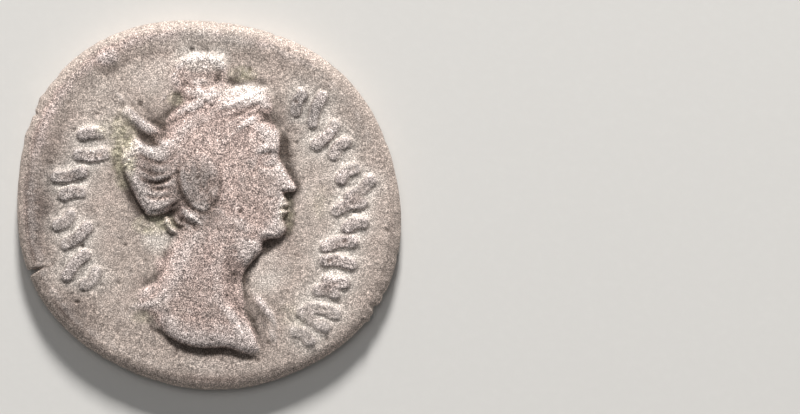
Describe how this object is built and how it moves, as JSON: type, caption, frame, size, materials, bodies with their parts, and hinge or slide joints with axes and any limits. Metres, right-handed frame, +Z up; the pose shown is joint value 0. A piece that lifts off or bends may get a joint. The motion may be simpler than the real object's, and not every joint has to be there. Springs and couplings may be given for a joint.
{
  "type": "denarius coin",
  "caption": "Small uneven struck silver coin, worn smooth, with a draped portrait in relief on one side and a standing draped figure on the other.",
  "frame": {"origin": "centre of the coin's outline, on the plane the worn reverse rests on", "axes": "+X the way the portrait faces, along the longest extent; +Y to the top of the portrait; +Z up out of the portrait side, through the thickness"},
  "size_m": [0.0182, 0.0174, 0.0019],
  "materials": {
    "worn_silver": "worn, finely grained silver alloy, grey with pinkish-brown toning and earthy deposits"
  },
  "bodies": {
    "root": {"coin": "worn_silver"}
  },
  "joints": []
}
